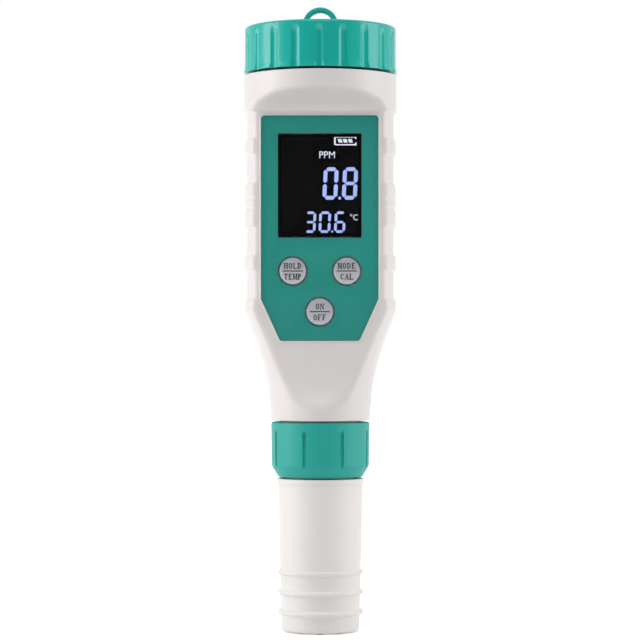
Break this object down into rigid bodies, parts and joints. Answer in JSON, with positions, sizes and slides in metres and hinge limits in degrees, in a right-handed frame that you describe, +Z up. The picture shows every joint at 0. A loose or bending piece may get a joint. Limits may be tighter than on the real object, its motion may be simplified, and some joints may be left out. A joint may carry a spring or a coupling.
{
  "type": "multiparameter water quality meter",
  "caption": "Pen-type water quality meter with a lit display, three keys, a screw cap with a lanyard eye, and a plug-in electrode under a slip-on cap.",
  "frame": {"origin": "under the closed probe cap, level with the pads it stands on, on the meter's long axis", "axes": "+Z up the long axis towards the screw cap, display faces -Y, +X to the right as it is read"},
  "size_m": [0.0454, 0.0454, 0.185],
  "materials": {
    "teal_gloss": "glossy moulded plastic",
    "teal_panel": "fine matt face",
    "white_shell": "satin moulded plastic",
    "white_cap": "satin moulded plastic",
    "window_lens": "polished clear lens",
    "silver_key": "silver paint with fine grain",
    "steel": "bright steel",
    "nickel_strip": "nickel plated spring sheet and wire",
    "black_plastic": "moulded black plastic",
    "frame_white": "moulded plastic",
    "display_glass": "dark display glass",
    "seal_rubber": "black seal rubber and foam",
    "key_silicone": "grey silicone",
    "board_green": "solder-masked board",
    "cell_jacket": "printed film over steel, no lettering",
    "electrode_grey": "moulded plastic",
    "resin_black": "cast resin",
    "sensor_glass": "blown glass",
    "silver_wire": "silver wire",
    "white_ceramic": "porous ceramic plug",
    "platinum": "bright platinum",
    "gilt_pins": "gold plated",
    "pad_rubber": "grey anti-slip rubber",
    "sponge": "open-cell sponge"
  },
  "bodies": {
    "handset": {"housing": "white_shell", "cap_o_ring": "seal_rubber", "front_panel": "teal_panel", "panel_tape": "seal_rubber", "display_window": "window_lens", "window_gasket": "seal_rubber", "lcd_glass": "display_glass", "lcd_backlight": "frame_white", "lcd_connector_strip": "seal_rubber", "display_frame": "frame_white", "main_board": "board_green", "board_chips": "black_plastic", "display_screws": "steel", "board_screws": "steel", "tact_switches": "black_plastic", "key_mat": "key_silicone", "battery_holder": "black_plastic", "battery_springs": "nickel_strip", "battery_terminals": "nickel_strip", "battery_left": "cell_jacket", "battery_right": "cell_jacket", "probe_socket": "black_plastic"},
    "contact_carrier": {"contact_disc": "black_plastic", "bridge_contact": "nickel_strip"},
    "screw_cap": {"top_cap": "teal_gloss", "contact_screw": "steel"},
    "electrode": {"electrode_body": "electrode_grey", "potting_resin": "resin_black", "ph_glass": "sensor_glass", "ph_inner_wire": "silver_wire", "reference_junction": "white_ceramic", "temperature_probe": "steel", "conductivity_pins": "steel", "platinum_pin": "platinum", "electrode_o_ring": "seal_rubber", "cap_seal_ring": "seal_rubber", "pin_carrier": "black_plastic", "connector_pins": "gilt_pins"},
    "collar": {"collar_nut": "teal_gloss"},
    "probe_cover": {"probe_cap": "white_cap", "foot_pads": "pad_rubber", "soaking_sponge": "sponge"},
    "button_left": {"key_left": "silver_key", "plunger_left": "black_plastic"},
    "button_right": {"key_right": "silver_key", "plunger_right": "black_plastic"},
    "button_power": {"key_power": "silver_key", "plunger_power": "black_plastic"}
  },
  "joints": [
    {"name": "cap_lift", "type": "slide", "parent": "handset", "child": "contact_carrier", "axis": [0, 0, 1], "range_m": [0, 0.009]},
    {"name": "cap_turn", "type": "hinge", "parent": "contact_carrier", "child": "screw_cap", "pos_m": [0, 0, 0.1725], "axis": [0, 0, 1], "range_deg": [0, 1080]},
    {"name": "electrode_drop", "type": "slide", "parent": "handset", "child": "electrode", "axis": [0, 0, -1], "range_m": [0, 0.00875]},
    {"name": "collar_turn", "type": "hinge", "parent": "electrode", "child": "collar", "pos_m": [0, 0, 0.054], "axis": [0, 0, -1], "range_deg": [0, 1260]},
    {"name": "probe_cap_pull", "type": "slide", "parent": "electrode", "child": "probe_cover", "axis": [0, 0, -1], "range_m": [0, 0.042]},
    {"name": "press_left", "type": "slide", "parent": "handset", "child": "button_left", "axis": [0, 1, 0], "range_m": [0, 0.0004], "stiffness_N_per_m": 300, "springref_m": -0.001},
    {"name": "press_right", "type": "slide", "parent": "handset", "child": "button_right", "axis": [0, 1, 0], "range_m": [0, 0.0004], "stiffness_N_per_m": 300, "springref_m": -0.001},
    {"name": "press_power", "type": "slide", "parent": "handset", "child": "button_power", "axis": [0, 1, 0], "range_m": [0, 0.0004], "stiffness_N_per_m": 300, "springref_m": -0.001}
  ],
  "couplings": [
    {"joint": "cap_turn", "follows": "cap_lift", "rad_per_m": 2094.4},
    {"joint": "collar_turn", "follows": "electrode_drop", "rad_per_m": 2513.3}
  ]
}
